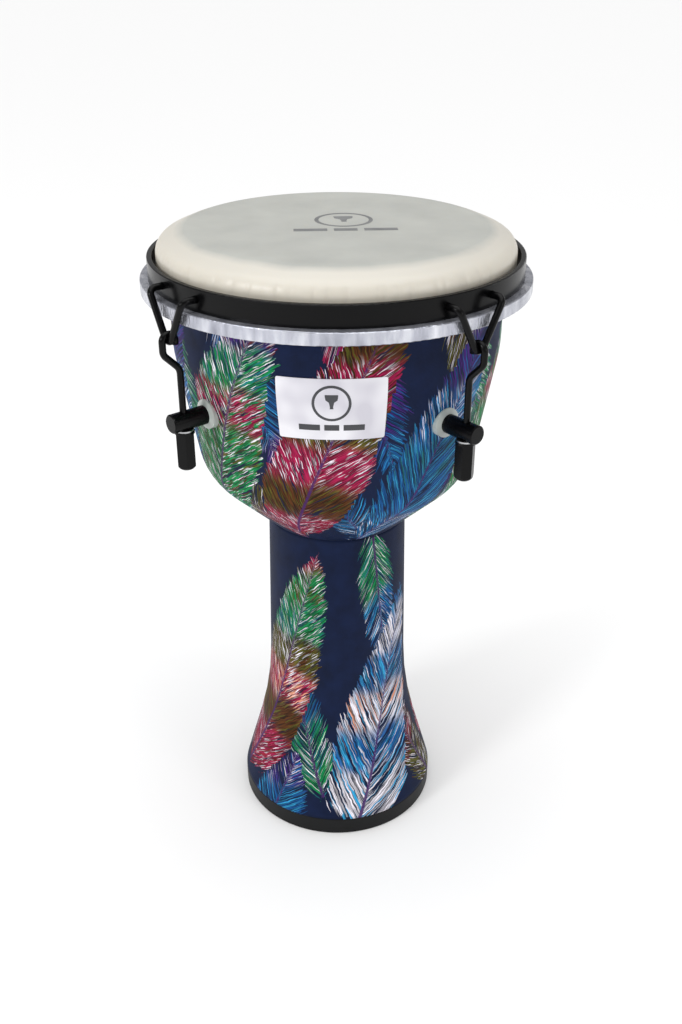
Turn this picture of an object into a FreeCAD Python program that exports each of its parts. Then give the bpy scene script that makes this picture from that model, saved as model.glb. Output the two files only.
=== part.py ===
import FreeCAD, Part
import math
import os
import re

import Sketcher
from FreeCAD import Placement, Rotation, Vector

# Goblet hand drum with a ten inch head, rod tuned. Millimetres, +Z up.
# The origin is the middle of the foot, on the floor. The badge faces -Y, and the four lugs stand at 45 degrees to it.

doc = FreeCAD.newDocument("djembe")
sheet = doc.addObject("Spreadsheet::Sheet", "dims")

sizes = {
    # moulded shell, a bowl plugged onto a stem
    "rim_height": 494.0,
    "rim_radius": 119.0,
    "rim_width": 18.0,
    "rim_slope_drop": 5.1,
    "rim_flat_width": 1.9,
    "rim_lip_depth": 6.0,
    "waist_drop": 82.0,
    "waist_bend": 120.0,
    "knee_drop": 177.6,
    "knee_taper": 16.9,
    "knee_bend": 45.0,
    "neck_drop": 224.0,
    "neck_radius": 53.4,
    "wall_thickness": 7.0,
    "tenon_length": 15.0,
    "tenon_wall": 3.6,
    "seat_clearance": 0.05,
    "flare_height": 102.5,
    "flare_radius": 56.4,
    "flare_bend": 300.0,
    "foot_radius": 81.1,
    "skin_thickness": 0.7,
    # rubber ring under the foot
    "ring_height": 15.3,
    "ring_wall": 2.5,
    "ring_floor": 3.0,
    "ring_inner_height": 12.0,
    "ring_edge": 0.9,
    # head film and its collar
    "film_thickness": 1.0,
    "crown_inset": 11.0,
    "crown_bend": 25.0,
    "shoulder_drop": 8.0,
    "shoulder_bend": 11.0,
    "collar_clearance": 8.0,
    "collar_length": 27.8,
    # tension hoop, a flat bar on edge, and the head's own channel hoop under it
    "head_rise": 17.0,
    "hoop_height": 15.3,
    "hoop_gap": 2.6,
    "hoop_wall": 3.75,
    "hoop_edge": 0.7,
    "channel_height": 9.0,
    "channel_wall": 1.5,
    "channel_overhang": 5.85,
    "channel_inset": 4.0,
    "channel_lip": 1.9,
    "groove_width": 2.4,
    "groove_depth": 6.5,
    # bent wire claws
    "wire_diameter": 4.8,
    "claw_spread": 19.7,
    "claw_standoff": 0.45,
    "claw_reach": 37.6,
    "claw_crotch_play": 0.2,
    "claw_tip_stub": 0.87,
    "claw_top_bend": 4.6,
    "claw_hole_drop": 7.0,
    "claw_hole_play": 0.25,
    # lugs and tuning rods
    "lug_start_angle": -45.0,
    "lug_count": 4,
    "lug_drop": 95.5,
    "post_diameter": 13.5,
    "post_overhang": 10.5,
    "post_chamfer": 0.8,
    "post_flat_depth": 1.0,
    "saddle_diameter": 21.0,
    "saddle_height": 4.2,
    "saddle_bevel": 1.4,
    "rod_standoff": 16.0,
    "rod_hole_play": 0.5,
    "rod_crank_drop": 58.0,
    "rod_crank_rise": 12.0,
    "rod_crank_bend": 9.0,
    "rod_crank_top_bend": 6.3,
    "hook_bend_share": 0.98,
    "hook_play": 0.06,
    "hook_tip": 3.0,
    "rod_reserve": 3.9,
    "washer_diameter": 13.0,
    "washer_thickness": 1.2,
    "washer_play": 0.45,
    "nut_end_play": 0.1,
    "nut_flats": 12.2,
    "nut_length": 29.0,
    "nut_collar": 1.6,
    "nut_dome": 5.0,
    "nut_floor": 3.6,
    "thread_clearance": 0.08,
    # screws that hold the lugs from inside
    "screw_diameter": 6.0,
    "screw_hole_play": 0.3,
    "screw_depth": 9.0,
    "screw_head_diameter": 11.0,
    "screw_head_height": 4.0,
    "screw_socket_diameter": 4.6,
    "screw_socket_depth": 2.4,
    "backing_diameter": 20.0,
    "backing_thickness": 2.4,
    # maker's plate
    "badge_angle": 35.0,
    "badge_turn": 3.75,
    "badge_top_drop": 52.5,
    "badge_height": 44.5,
    "badge_thickness": 0.5,
    "badge_corner": 2.5,
}
for row, (alias, size) in enumerate(sizes.items(), start=1):
    sheet.set(f"A{row}", str(size))
    sheet.setAlias(f"A{row}", alias)
doc.recompute()

# places that several pieces share, each written once in terms of the sizes above
shared = {
    "waist_height": "(rim_height - waist_drop)",
    "knee_height": "(rim_height - knee_drop)",
    "neck_height": "(rim_height - neck_drop)",
    "knee_radius": "(rim_radius - knee_taper)",
    "rim_inner_radius": "(rim_radius - rim_width)",
    "crown_radius": "(rim_radius - crown_inset)",
    "collar_radius": "(rim_radius + collar_clearance)",
    "rod_radius": "(rim_radius + rod_standoff)",
    "post_end_radius": "(rim_radius + rod_standoff + post_overhang)",
    "hoop_top": "(rim_height + film_thickness - head_rise)",
    "channel_top": "(rim_height + film_thickness - head_rise - hoop_height)",
    "hoop_inner": "({collar_radius} + hoop_gap)",
    "hoop_outer": "({collar_radius} + hoop_gap + hoop_wall)",
    "channel_outer": "({collar_radius} + hoop_gap + hoop_wall + channel_overhang)",
    "lug_height": "(rim_height + film_thickness - head_rise - lug_drop)",
    "bowl_lean": "((rim_radius - {knee_radius}) / ({waist_height} - {knee_height}))",
    "cone_lean": "(({knee_radius} - neck_radius) / ({knee_height} - {neck_height}))",
    "bowl_at_lug": "(rim_radius - {bowl_lean} * ({waist_height} - {lug_height}))",
    "wall_at_lug": "(wall_thickness * sqrt(1 + {bowl_lean}^2))",
    "cone_wall": "(wall_thickness * sqrt(1 + {cone_lean}^2))",
    "saddle_face": "({bowl_at_lug} + skin_thickness + saddle_height)",
    "post_flat": "({lug_height} - post_diameter / 2 + post_flat_depth)",
    "washer_foot": "({post_flat} - washer_thickness)",
    "nut_top": "({post_flat} - washer_thickness - nut_end_play)",
    "claw_x": "({channel_outer} + claw_standoff + wire_diameter / 2)",
    "hook_height": "({hoop_top} - claw_reach)",
}


def expression(text):
    """The text with its shared places filled in and every size looked up in the sheet."""
    while "{" in text:
        text = text.format(**shared)
    return re.sub(r"\b([a-z]+_\w+)", r"dims.\1", text)


def value(text):
    found = sheet.evalExpression(expression(text))
    return float(getattr(found, "Value", found))


def bind(feature, name, text):
    feature.setExpression(name, expression(text))


def origin_feature(body, role):
    return next(f for f in body.Origin.OriginFeatures if f.Role == role)


def new_body(name, turn=0.0):
    body = doc.addObject("PartDesign::Body", name)
    body.Label = name
    body.Placement = Placement(Vector(), Rotation(Vector(0, 0, 1), turn))
    return body


def new_sketch(body, name, role, height=None):
    sketch = body.newObject("Sketcher::SketchObject", name)
    sketch.AttachmentSupport = (origin_feature(body, role), [""])
    sketch.MapMode = "FlatFace"
    if height:
        bind(sketch, "AttachmentOffset.Base.z", height)
    return sketch


def locate(sketch, index, point, place):
    """Ties one point of a sketch line to its distances from the sketch's origin."""
    for kind, text in zip(("DistanceX", "DistanceY"), place):
        number = sketch.addConstraint(Sketcher.Constraint(kind, -1, 1, index, point, value(text)))
        bind(sketch, f"Constraints[{number}]", text)


def draw_outline(sketch, places):
    points = [Vector(value(across), value(up), 0) for across, up in places]
    count = len(points)
    for i in range(count):
        sketch.addGeometry(Part.LineSegment(points[i], points[(i + 1) % count]), False)
    for i in range(count):
        sketch.addConstraint(Sketcher.Constraint("Coincident", i, 2, (i + 1) % count, 1))
        locate(sketch, i, 1, places[i])


def draw_circle(sketch, across, up, diameter):
    number = sketch.addGeometry(Part.Circle(Vector(value(across), value(up), 0), Vector(0, 0, 1), value(diameter) / 2))
    locate(sketch, number, 3, (across, up))
    size = sketch.addConstraint(Sketcher.Constraint("Diameter", number, value(diameter)))
    bind(sketch, f"Constraints[{size}]", diameter)


def turn_outline(body, name, places, kind="Revolution", across=None, up=None, angle="360"):
    """Revolves an outline in the XZ plane about Z, about the upright line at across, or about the level line at up."""
    sketch = new_sketch(body, name + "_outline", "XZ_Plane")
    draw_outline(sketch, places)
    axis = "V_Axis"
    if across or up:
        start = (across or "0", up or "0")
        end = (across, "10") if across else ("10", up)
        line = sketch.addGeometry(Part.LineSegment(*(Vector(value(a), value(b), 0) for a, b in (start, end))), True)
        locate(sketch, line, 1, start)
        locate(sketch, line, 2, end)
        axis = "Axis0"
    feature = body.newObject("PartDesign::" + kind, name)
    feature.Profile = (sketch, [""])
    feature.ReferenceAxis = (sketch, [axis])
    bind(feature, "Angle", angle)
    doc.recompute()
    return feature


def round_rings(body, name, base, radius, rings, kind="Fillet"):
    """Rounds or bevels the circular edges of base that lie at the given radius and height."""
    wanted = [(value(r), value(z)) for r, z in rings]
    edges = []
    for number, edge in enumerate(base.Shape.Edges, start=1):
        box = edge.BoundBox
        if box.ZLength < 0.01 and any(abs(box.XMax - r) < 0.02 and abs(box.ZMin - z) < 0.02 for r, z in wanted):
            edges.append(f"Edge{number}")
    if len(edges) < len(rings):
        raise RuntimeError(f"{name}: found {len(edges)} of {len(rings)} edges")
    feature = body.newObject("PartDesign::" + kind, name)
    feature.Base = (base, edges)
    bind(feature, "Radius" if kind == "Fillet" else "Size", radius)
    doc.recompute()
    return feature


def drill(body, name, role, holes, height=None, reverse=False):
    """Cuts round holes right through, from the sketch plane; holes holds (across, up, diameter)."""
    before = body.Shape.Volume
    sketch = new_sketch(body, name + "_circles", role, height)
    for hole in holes:
        draw_circle(sketch, *hole)
    pocket = body.newObject("PartDesign::Pocket", name)
    pocket.Profile = (sketch, [""])
    pocket.Type = 1
    pocket.Reversed = reverse
    doc.recompute()
    if pocket.Shape.Volume > before - 1:
        raise RuntimeError(f"{name} cuts nothing")
    return pocket


def repeat_round(body, name, feature):
    pattern = body.newObject("PartDesign::PolarPattern", name)
    pattern.Originals = [feature]
    pattern.Axis = (origin_feature(body, "Z_Axis"), [""])
    pattern.Angle = 360
    bind(pattern, "Occurrences", "lug_count")
    body.Tip = pattern
    doc.recompute()
    return pattern


def shift(places, across):
    return [(f"{r} + {across}", z) for r, z in places]


# Outside of the bowl from its neck up to its rim, and of the stem from the bowl down to its foot ring.
bowl_side = [("neck_radius", "{neck_height}"), ("{knee_radius}", "{knee_height}"), ("rim_radius", "{waist_height}")]
stem_side = [("neck_radius", "{neck_height}"), ("flare_radius", "flare_height"), ("foot_radius", "ring_height")]
lug_angles = [value("lug_start_angle") + 360 / value("lug_count") * i for i in range(int(value("lug_count")))]


def make_bowl():
    """Thick walled moulding: a cone and a nearly straight side, with a broad rounded edge for the head."""
    body = new_body("shell_bowl", value("lug_start_angle"))
    rim_edge = "rim_height - rim_slope_drop"
    outside = bowl_side + [("rim_radius", rim_edge), ("{rim_inner_radius} + rim_flat_width", "rim_height")]
    lip_foot = "rim_height - rim_lip_depth - (rim_radius - wall_thickness - {rim_inner_radius})"
    knee_inside = ("{knee_radius} - 0.93 * wall_thickness", "{knee_height} + 0.5 * wall_thickness")
    inside = [
        ("{rim_inner_radius}", "rim_height"),
        ("{rim_inner_radius}", "rim_height - rim_lip_depth"),
        ("rim_radius - wall_thickness", lip_foot),
        ("rim_radius - wall_thickness", "{waist_height}"),
        knee_inside,
        ("neck_radius + {cone_lean} * tenon_length - {cone_wall}", "{neck_height} + tenon_length"),
        ("neck_radius - tenon_wall", "{neck_height} + tenon_length"),
        ("neck_radius - tenon_wall", "{neck_height}"),
    ]
    turned = turn_outline(body, "bowl_wall", outside + inside)
    knee = round_rings(body, "bowl_knee", turned, "knee_bend", [bowl_side[1]])
    knee = round_rings(body, "bowl_knee_inside", knee, "knee_bend - wall_thickness", [knee_inside])
    waist = round_rings(body, "bowl_waist", knee, "waist_bend", [bowl_side[2]])
    round_rings(body, "bowl_rim_edge", waist, "rim_flat_width", [("rim_radius", rim_edge)])
    hole = ("0", "{lug_height}", "screw_diameter + 2 * screw_hole_play")
    repeat_round(body, "lug_holes", drill(body, "lug_hole", "YZ_Plane", [hole], reverse=True))
    return body


def make_bowl_skin():
    """Printed cloth bonded round the bowl, up to the head's hoop and cut round the lug screws."""
    body = new_body("bowl_fabric", value("lug_start_angle"))
    side = bowl_side + [("rim_radius", "{channel_top}")]
    turned = turn_outline(body, "cloth", side + shift(side, "skin_thickness")[::-1])
    knee = round_rings(body, "cloth_knee_inside", turned, "knee_bend", [side[1]])
    outer = shift(side, "skin_thickness")
    knee = round_rings(body, "cloth_knee", knee, "knee_bend + skin_thickness", [outer[1]])
    waist = round_rings(body, "cloth_waist_inside", knee, "waist_bend", [side[2]])
    round_rings(body, "cloth_waist", waist, "waist_bend + skin_thickness", [outer[2]])
    hole = ("0", "{lug_height}", "screw_diameter + 2 * screw_hole_play")
    repeat_round(body, "lug_holes", drill(body, "lug_hole", "YZ_Plane", [hole], reverse=True))
    return body


def make_stem():
    """Hollow stem: a tenon that plugs into the bowl, a straight neck and a flared foot."""
    body = new_body("shell_stem")
    tenon = "neck_radius - tenon_wall - seat_clearance"
    bore = "neck_radius - wall_thickness"
    flare_inside = ("flare_radius - wall_thickness", "flare_height")
    spur = "foot_radius + skin_thickness - ring_wall"
    places = [(tenon, "{neck_height} + tenon_length"), (tenon, "{neck_height}")] + stem_side + [
        (spur, "ring_height"),
        (spur, "ring_floor"),
        ("foot_radius - wall_thickness", "ring_floor"),
        ("foot_radius - wall_thickness", "ring_height"),
        flare_inside,
        (bore, "{neck_height}"),
        (bore, "{neck_height} + tenon_length"),
    ]
    turned = turn_outline(body, "stem_wall", places)
    round_rings(body, "stem_flare", turned, "flare_bend", [stem_side[1], flare_inside])
    return body


def make_stem_skin():
    """Printed cloth bonded round the stem, from the bowl joint to the foot ring."""
    body = new_body("stem_fabric")
    outer = shift(stem_side, "skin_thickness")
    turned = turn_outline(body, "cloth", stem_side + outer[::-1])
    round_rings(body, "cloth_flare", turned, "flare_bend", [stem_side[1], outer[1]])
    return body


def make_foot_ring():
    """Rubber channel pushed up over the stem's edge; the drum stands on its floor."""
    body = new_body("foot_rubber_ring")
    outer = "foot_radius + skin_thickness + seat_clearance"
    slot_outer = "foot_radius + skin_thickness - ring_wall"
    slot_inner = "foot_radius - wall_thickness"
    inner = "foot_radius - wall_thickness - ring_wall"
    places = [(inner, "0"), (outer, "0"), (outer, "ring_height"), (slot_outer, "ring_height"),
              (slot_outer, "ring_floor"), (slot_inner, "ring_floor"), (slot_inner, "ring_inner_height"),
              (inner, "ring_inner_height")]
    turned = turn_outline(body, "channel", places)
    round_rings(body, "ring_edges", turned, "ring_edge", [(outer, "0"), (outer, "ring_height")])
    return body


def make_drumhead():
    """Synthetic head: a flat crown, a rounded shoulder over the bowl's edge and a collar down into its hoop."""
    body = new_body("drumhead")
    crown = "rim_height + film_thickness"
    shoulder = "rim_height + film_thickness - shoulder_drop"
    foot = "rim_height + film_thickness - shoulder_drop - collar_length"
    places = [("0", foot), ("{collar_radius}", foot), ("{collar_radius}", shoulder), ("{crown_radius}", crown), ("0", crown)]
    turned = turn_outline(body, "head_form", places)
    rounded = round_rings(body, "head_shoulder", turned, "shoulder_bend", [places[2]])
    rounded = round_rings(body, "head_crown", rounded, "crown_bend", [places[3]])
    under = [f"Face{n}" for n, face in enumerate(rounded.Shape.Faces, start=1)
             if face.BoundBox.ZLength < 0.01 and abs(face.BoundBox.ZMin - value(foot)) < 0.01]
    film = body.newObject("PartDesign::Thickness", "film")
    film.Base = (rounded, under)
    film.Reversed = True
    bind(film, "Value", "film_thickness")
    doc.recompute()
    return body


def make_counterhoop():
    """Flat steel bar rolled on edge, with a pair of holes for each claw."""
    body = new_body("counterhoop", value("lug_start_angle"))
    places = [("{hoop_inner}", "{channel_top}"), ("{hoop_outer}", "{channel_top}"), ("{hoop_outer}", "{hoop_top}"),
              ("{hoop_inner}", "{hoop_top}")]
    turned = turn_outline(body, "hoop_bar", places)
    round_rings(body, "hoop_edges", turned, "hoop_edge", places)
    height = "{hoop_top} - claw_hole_drop"
    size = "wire_diameter + 2 * claw_hole_play"
    pair = [("claw_spread", height, size), ("-claw_spread", height, size)]
    repeat_round(body, "claw_holes", drill(body, "claw_hole_pair", "YZ_Plane", pair, reverse=True))
    return body


def make_flesh_hoop():
    """Aluminium channel that grips the head's edge; the tension hoop presses on its lipped top."""
    body = new_body("flesh_hoop")
    inner = "{collar_radius} - film_thickness - channel_inset"
    foot = "{channel_top} - channel_height"
    mouth = "{collar_radius} - film_thickness / 2"
    places = [
        (f"{mouth} - channel_lip", "{channel_top}"),
        (inner, "{channel_top}"),
        (inner, foot),
        ("{channel_outer}", foot),
        ("{channel_outer}", "{channel_top}"),
        (f"{mouth} + channel_lip", "{channel_top}"),
        (f"{mouth} + channel_lip", "{channel_top} - channel_wall"),
        ("{channel_outer} - channel_wall", "{channel_top} - channel_wall"),
        ("{channel_outer} - channel_wall", foot + " + channel_wall"),
        (inner + " + channel_wall", foot + " + channel_wall"),
        (inner + " + channel_wall", "{channel_top} - channel_wall"),
        (f"{mouth} - channel_lip", "{channel_top} - channel_wall"),
    ]
    turned = turn_outline(body, "channel", places)
    round_rings(body, "channel_edges", turned, "hoop_edge", [places[3], places[4]])
    return body


def make_hoop_resin():
    """Cast resin filling of the channel, with the narrow groove that the head's edge sits in."""
    body = new_body("hoop_resin")
    inner = "{collar_radius} - film_thickness - channel_inset + channel_wall"
    outer = "{channel_outer} - channel_wall"
    top = "{channel_top} - channel_wall"
    foot = "{channel_top} - channel_height + channel_wall"
    near = "{collar_radius} - film_thickness / 2 - groove_width / 2"
    far = "{collar_radius} - film_thickness / 2 + groove_width / 2"
    bed = "{channel_top} - groove_depth"
    places = [(inner, foot), (outer, foot), (outer, top), (far, top), (far, bed), (near, bed), (near, top), (inner, top)]
    turn_outline(body, "filling", places)
    return body


def bent_wire(name, corners, bends, turn):
    """One length of round wire through the corners, each turned on its own radius."""
    edges = []
    start = corners[0]
    for before, corner, after, radius in zip(corners, corners[1:], corners[2:], bends):
        back = (before - corner).normalize()
        ahead = (after - corner).normalize()
        half = back.getAngle(ahead) / 2
        reach = radius / math.tan(half)
        middle = corner + (back + ahead).normalize() * (radius / math.sin(half) - radius)
        first = corner + back * reach
        last = corner + ahead * reach
        edges.append(Part.LineSegment(start, first).toShape())
        edges.append(Part.Arc(first, middle, last).toShape())
        start = last
    edges.append(Part.LineSegment(start, corners[-1]).toShape())
    section = Part.Wire(Part.Circle(corners[0], corners[1] - corners[0], value("wire_diameter") / 2).toShape())
    piece = doc.addObject("Part::Feature", name)
    piece.Label = name
    piece.Shape = Part.Wire(edges).makePipeShell([section], True, False)
    piece.Placement = Placement(Vector(), Rotation(Vector(0, 0, 1), turn))
    return piece


def make_claw(number, turn):
    """V of bent wire: its ends turn in through the tension hoop, and the tuning rod hooks over its crotch."""
    face = value("{claw_x}")
    spread = value("claw_spread")
    top = value("{hoop_top} - claw_hole_drop")
    lowest = value("{hook_height}")
    bend = value("wire_diameter + claw_crotch_play")
    # the legs are tangents from the hoop holes to the crotch's arc, and meet below it
    rise = top - lowest - bend
    lean = math.atan2(spread, rise) - math.asin(bend / math.hypot(spread, rise))
    crotch = top - spread / math.tan(lean)
    tip = value("{hoop_inner} - claw_tip_stub") - face
    corners = [Vector(face + tip, -spread, top), Vector(face, -spread, top), Vector(face, 0, crotch),
               Vector(face, spread, top), Vector(face + tip, spread, top)]
    elbow = value("claw_top_bend")
    return bent_wire(f"claw_{number}", corners, [elbow, bend, elbow], turn)


def make_rod(number, turn):
    """Tuning rod: a straight shank, a crank outwards, and a hook over the claw's crotch."""
    shank = value("{rod_radius}")
    face = value("{claw_x}")
    turn_radius = value("wire_diameter + hook_play")
    top = value("{hook_height}") + turn_radius
    crank = value("{hoop_top} - rod_crank_drop")
    end = value("{nut_top} - nut_length + nut_floor + rod_reserve")
    corners = [Vector(shank, 0, end), Vector(shank, 0, crank),
               Vector(face + turn_radius, 0, crank + value("rod_crank_rise")), Vector(face + turn_radius, 0, top),
               Vector(face - turn_radius, 0, top), Vector(face - turn_radius, 0, top - turn_radius - value("hook_tip"))]
    # the hook's two quarter turns stop just short of each other
    bends = [value("rod_crank_bend"), value("rod_crank_top_bend")] + [turn_radius * value("hook_bend_share")] * 2
    return bent_wire(f"tuning_rod_{number}", corners, bends, turn)


def make_saddle(number, turn):
    """Clear plastic washer, hollowed to the bowl's curve, between bowl and lug."""
    body = new_body(f"lug_saddle_{number}", turn)
    inner = "screw_diameter / 2 + screw_hole_play"
    start = "{bowl_at_lug} - saddle_diameter / 4"
    places = [(start, "{lug_height} + " + inner), ("{saddle_face}", "{lug_height} + " + inner),
              ("{saddle_face}", "{lug_height} + post_diameter / 2"),
              ("{saddle_face} - saddle_bevel", "{lug_height} + saddle_diameter / 2"),
              (start, "{lug_height} + saddle_diameter / 2")]
    turn_outline(body, "saddle", places, up="{lug_height}")
    side = shift(bowl_side, "skin_thickness")
    core = [("0", "{neck_height}")] + side + [("rim_radius + skin_thickness", "{hoop_top}"), ("0", "{hoop_top}")]
    turn_outline(body, "bowl_hollow", core, kind="Groove")
    return body


def make_post(number, turn):
    """Round lug post, cross drilled for the rod, with a flat under it for the nut washer."""
    body = new_body(f"lug_post_{number}", turn)
    depth = "{saddle_face} + screw_depth + seat_clearance"
    bore = "{lug_height} + screw_diameter / 2 + seat_clearance"
    skin = "{lug_height} + post_diameter / 2"
    places = [(depth, "{lug_height}"), (depth, bore), ("{saddle_face}", bore), ("{saddle_face}", skin),
              ("{post_end_radius} - post_chamfer", skin), ("{post_end_radius}", skin + " - post_chamfer"),
              ("{post_end_radius}", "{lug_height}")]
    turn_outline(body, "post", places, up="{lug_height}")
    hole = ("{rod_radius}", "0", "wire_diameter + 2 * rod_hole_play")
    drill(body, "rod_hole", "XY_Plane", [hole], reverse=True)
    spot = ("{rod_radius}", "0", "washer_diameter + 2 * washer_play")
    before = body.Shape.Volume
    sketch = new_sketch(body, "spotface_circle", "XY_Plane", "{post_flat}")
    draw_circle(sketch, *spot)
    cut = body.newObject("PartDesign::Pocket", "spotface")
    cut.Profile = (sketch, [""])
    bind(cut, "Length", "post_diameter")
    doc.recompute()
    if cut.Shape.Volume > before - 1:
        raise RuntimeError("the spotface cuts nothing")
    return body


def make_screw(number, turn):
    """Socket screw from inside the bowl into the lug post."""
    body = new_body(f"lug_screw_{number}", turn)
    seat = "{bowl_at_lug} - {wall_at_lug} - backing_thickness"
    top = seat + " - screw_head_height"
    middle = "{lug_height}"
    places = [(top + " + screw_socket_depth", middle),
              (top + " + screw_socket_depth", middle + " + screw_socket_diameter / 2"),
              (top, middle + " + screw_socket_diameter / 2"), (top, middle + " + screw_head_diameter / 2"),
              (seat, middle + " + screw_head_diameter / 2"), (seat, middle + " + screw_diameter / 2"),
              ("{saddle_face} + screw_depth", middle + " + screw_diameter / 2"), ("{saddle_face} + screw_depth", middle)]
    turn_outline(body, "screw", places, up=middle)
    return body


def make_backing(number, turn):
    """Backing washer inside the bowl, shaped to its inner wall."""
    body = new_body(f"backing_washer_{number}", turn)
    seat = "{bowl_at_lug} - {wall_at_lug} - backing_thickness"
    hole = "{lug_height} + screw_diameter / 2 + screw_hole_play"
    rim = "{lug_height} + backing_diameter / 2"
    far = "{bowl_at_lug}"
    turn_outline(body, "washer", [(seat, hole), (far, hole), (far, rim), (seat, rim)], up="{lug_height}")
    low = "{lug_height} - backing_diameter"
    high = "{lug_height} + backing_diameter"
    wall = "{bowl_at_lug} - {wall_at_lug}"
    lean = "{bowl_lean} * backing_diameter"
    outside = [(f"{wall} - {lean}", low), (f"{wall} + backing_diameter", low), (f"{wall} + backing_diameter", high),
               (f"{wall} + {lean}", high)]
    turn_outline(body, "wall_face", outside, kind="Groove")
    return body


def make_nut_washer(number, turn):
    body = new_body(f"nut_washer_{number}", turn)
    hole = "{rod_radius} + wire_diameter / 2 + rod_hole_play"
    rim = "{rod_radius} + washer_diameter / 2"
    places = [(hole, "{washer_foot}"), (rim, "{washer_foot}"), (rim, "{post_flat}"), (hole, "{post_flat}")]
    turn_outline(body, "washer", places, across="{rod_radius}")
    return body


def make_nut(number, turn):
    """Long closed hexagon nut with a domed end, bored for the rod."""
    body = new_body(f"tuning_nut_{number}", turn)
    bore = "{rod_radius} + wire_diameter / 2 + thread_clearance"
    corner = "{rod_radius} + nut_flats / sqrt(3)"
    foot = "{nut_top} - nut_length"
    places = [("{rod_radius}", foot), (corner, foot), (corner, "{nut_top}"), (bore, "{nut_top}"),
              (bore, foot + " + nut_floor"), ("{rod_radius}", foot + " + nut_floor")]
    turned = turn_outline(body, "nut", places, across="{rod_radius}")
    round_rings(body, "dome", turned, "nut_dome", [(corner, foot)])
    before = body.Shape.Volume
    sketch = new_sketch(body, "flats", "XY_Plane", "{nut_top} - nut_collar")
    hexagon = []
    for i in range(6):
        across = f"{{rod_radius}} + nut_flats / sqrt(3) * cos({60 * i})"
        hexagon.append((across, f"nut_flats / sqrt(3) * sin({60 * i})"))
    draw_outline(sketch, hexagon)
    draw_circle(sketch, "{rod_radius}", "0", "2 * nut_flats")
    cut = body.newObject("PartDesign::Pocket", "hexagon")
    cut.Profile = (sketch, [""])
    bind(cut, "Length", "nut_length")
    doc.recompute()
    if cut.Shape.Volume > before - 1:
        raise RuntimeError("the flats cut nothing")
    return body


def make_badge():
    """Thin curved plate with rounded corners, bonded to the cloth between two lugs."""
    start = -90 + value("badge_turn") - value("badge_angle") / 2
    body = new_body("badge", start)
    top = "{hoop_top} - badge_top_drop"
    foot = top + " - badge_height"
    foot_radius = "rim_radius - {bowl_lean} * ({waist_height} - (" + foot + "))"
    face = "skin_thickness + seat_clearance"
    back = shift([(foot_radius, foot), ("rim_radius", "{waist_height}"), ("rim_radius", top)], face)
    front = shift(back, "badge_thickness")
    plate = turn_outline(body, "plate", back + front[::-1], angle="badge_angle")
    plate = soften(body, "plate_back", plate, "waist_bend + skin_thickness", back[1])
    plate = soften(body, "plate_front", plate, "waist_bend + skin_thickness + badge_thickness", front[1])
    thin = value("badge_thickness") * 1.2
    corners = [f"Edge{n}" for n, edge in enumerate(plate.Shape.Edges, start=1) if edge.Length < thin
               and abs(edge.CenterOfMass.z - value("{waist_height}")) > 3]
    rounded = body.newObject("PartDesign::Fillet", "plate_corners")
    rounded.Base = (plate, corners)
    bind(rounded, "Radius", "badge_corner")
    doc.recompute()
    return body


def soften(body, name, base, radius, place):
    """Rounds the one part-circle edge of base that lies at place."""
    wanted, height = (value(text) for text in place)
    edges = []
    for number, edge in enumerate(base.Shape.Edges, start=1):
        spot = edge.Vertexes[0].Point
        if edge.BoundBox.ZLength < 0.01 and abs(spot.z - height) < 0.02 and abs(math.hypot(spot.x, spot.y) - wanted) < 0.02:
            if edge.Length > 5:
                edges.append(f"Edge{number}")
    feature = body.newObject("PartDesign::Fillet", name)
    feature.Base = (base, edges)
    bind(feature, "Radius", radius)
    doc.recompute()
    return feature


pieces = [make_bowl(), make_stem(), make_bowl_skin(), make_stem_skin(), make_foot_ring(), make_drumhead(), make_badge(),
          make_counterhoop(), make_flesh_hoop(), make_hoop_resin()]
for make in (make_claw, make_rod, make_post, make_saddle, make_screw, make_backing, make_nut_washer, make_nut):
    pieces += [make(number, turn) for number, turn in enumerate(lug_angles, start=1)]

doc.recompute()
for thing in doc.Objects:
    if "Invalid" in thing.State or "Error" in thing.State:
        raise RuntimeError(f"{thing.Label} failed: {thing.State}")
for piece in pieces:
    shape = piece.Shape
    if shape.isNull() or not shape.isValid() or len(shape.Solids) != 1:
        raise RuntimeError(f"{piece.Label} has no single valid solid")
os.makedirs("parts", exist_ok=True)
for piece in pieces:
    piece.Shape.exportStep(f"parts/{piece.Label}.step")
    print(f"{piece.Label:20s} {piece.Shape.Volume / 1000:9.2f} cm3")
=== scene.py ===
import bpy, bmesh
import math
import numpy as np
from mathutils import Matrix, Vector


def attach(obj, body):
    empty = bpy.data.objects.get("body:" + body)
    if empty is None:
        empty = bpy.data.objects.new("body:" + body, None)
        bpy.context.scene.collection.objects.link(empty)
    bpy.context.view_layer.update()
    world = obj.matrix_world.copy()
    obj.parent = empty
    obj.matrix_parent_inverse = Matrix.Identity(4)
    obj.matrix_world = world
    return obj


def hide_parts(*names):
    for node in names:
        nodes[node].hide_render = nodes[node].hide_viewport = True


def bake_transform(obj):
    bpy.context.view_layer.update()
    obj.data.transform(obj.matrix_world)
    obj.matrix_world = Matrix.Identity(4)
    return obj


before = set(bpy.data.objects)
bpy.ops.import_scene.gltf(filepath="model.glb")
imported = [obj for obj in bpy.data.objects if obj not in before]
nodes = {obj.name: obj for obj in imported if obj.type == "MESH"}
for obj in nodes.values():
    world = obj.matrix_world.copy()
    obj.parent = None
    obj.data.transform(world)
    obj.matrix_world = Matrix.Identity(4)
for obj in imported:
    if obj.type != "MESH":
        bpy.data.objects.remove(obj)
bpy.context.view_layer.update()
print("frame loaded:", len(nodes), "nodes")

mm = 0.001


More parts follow.
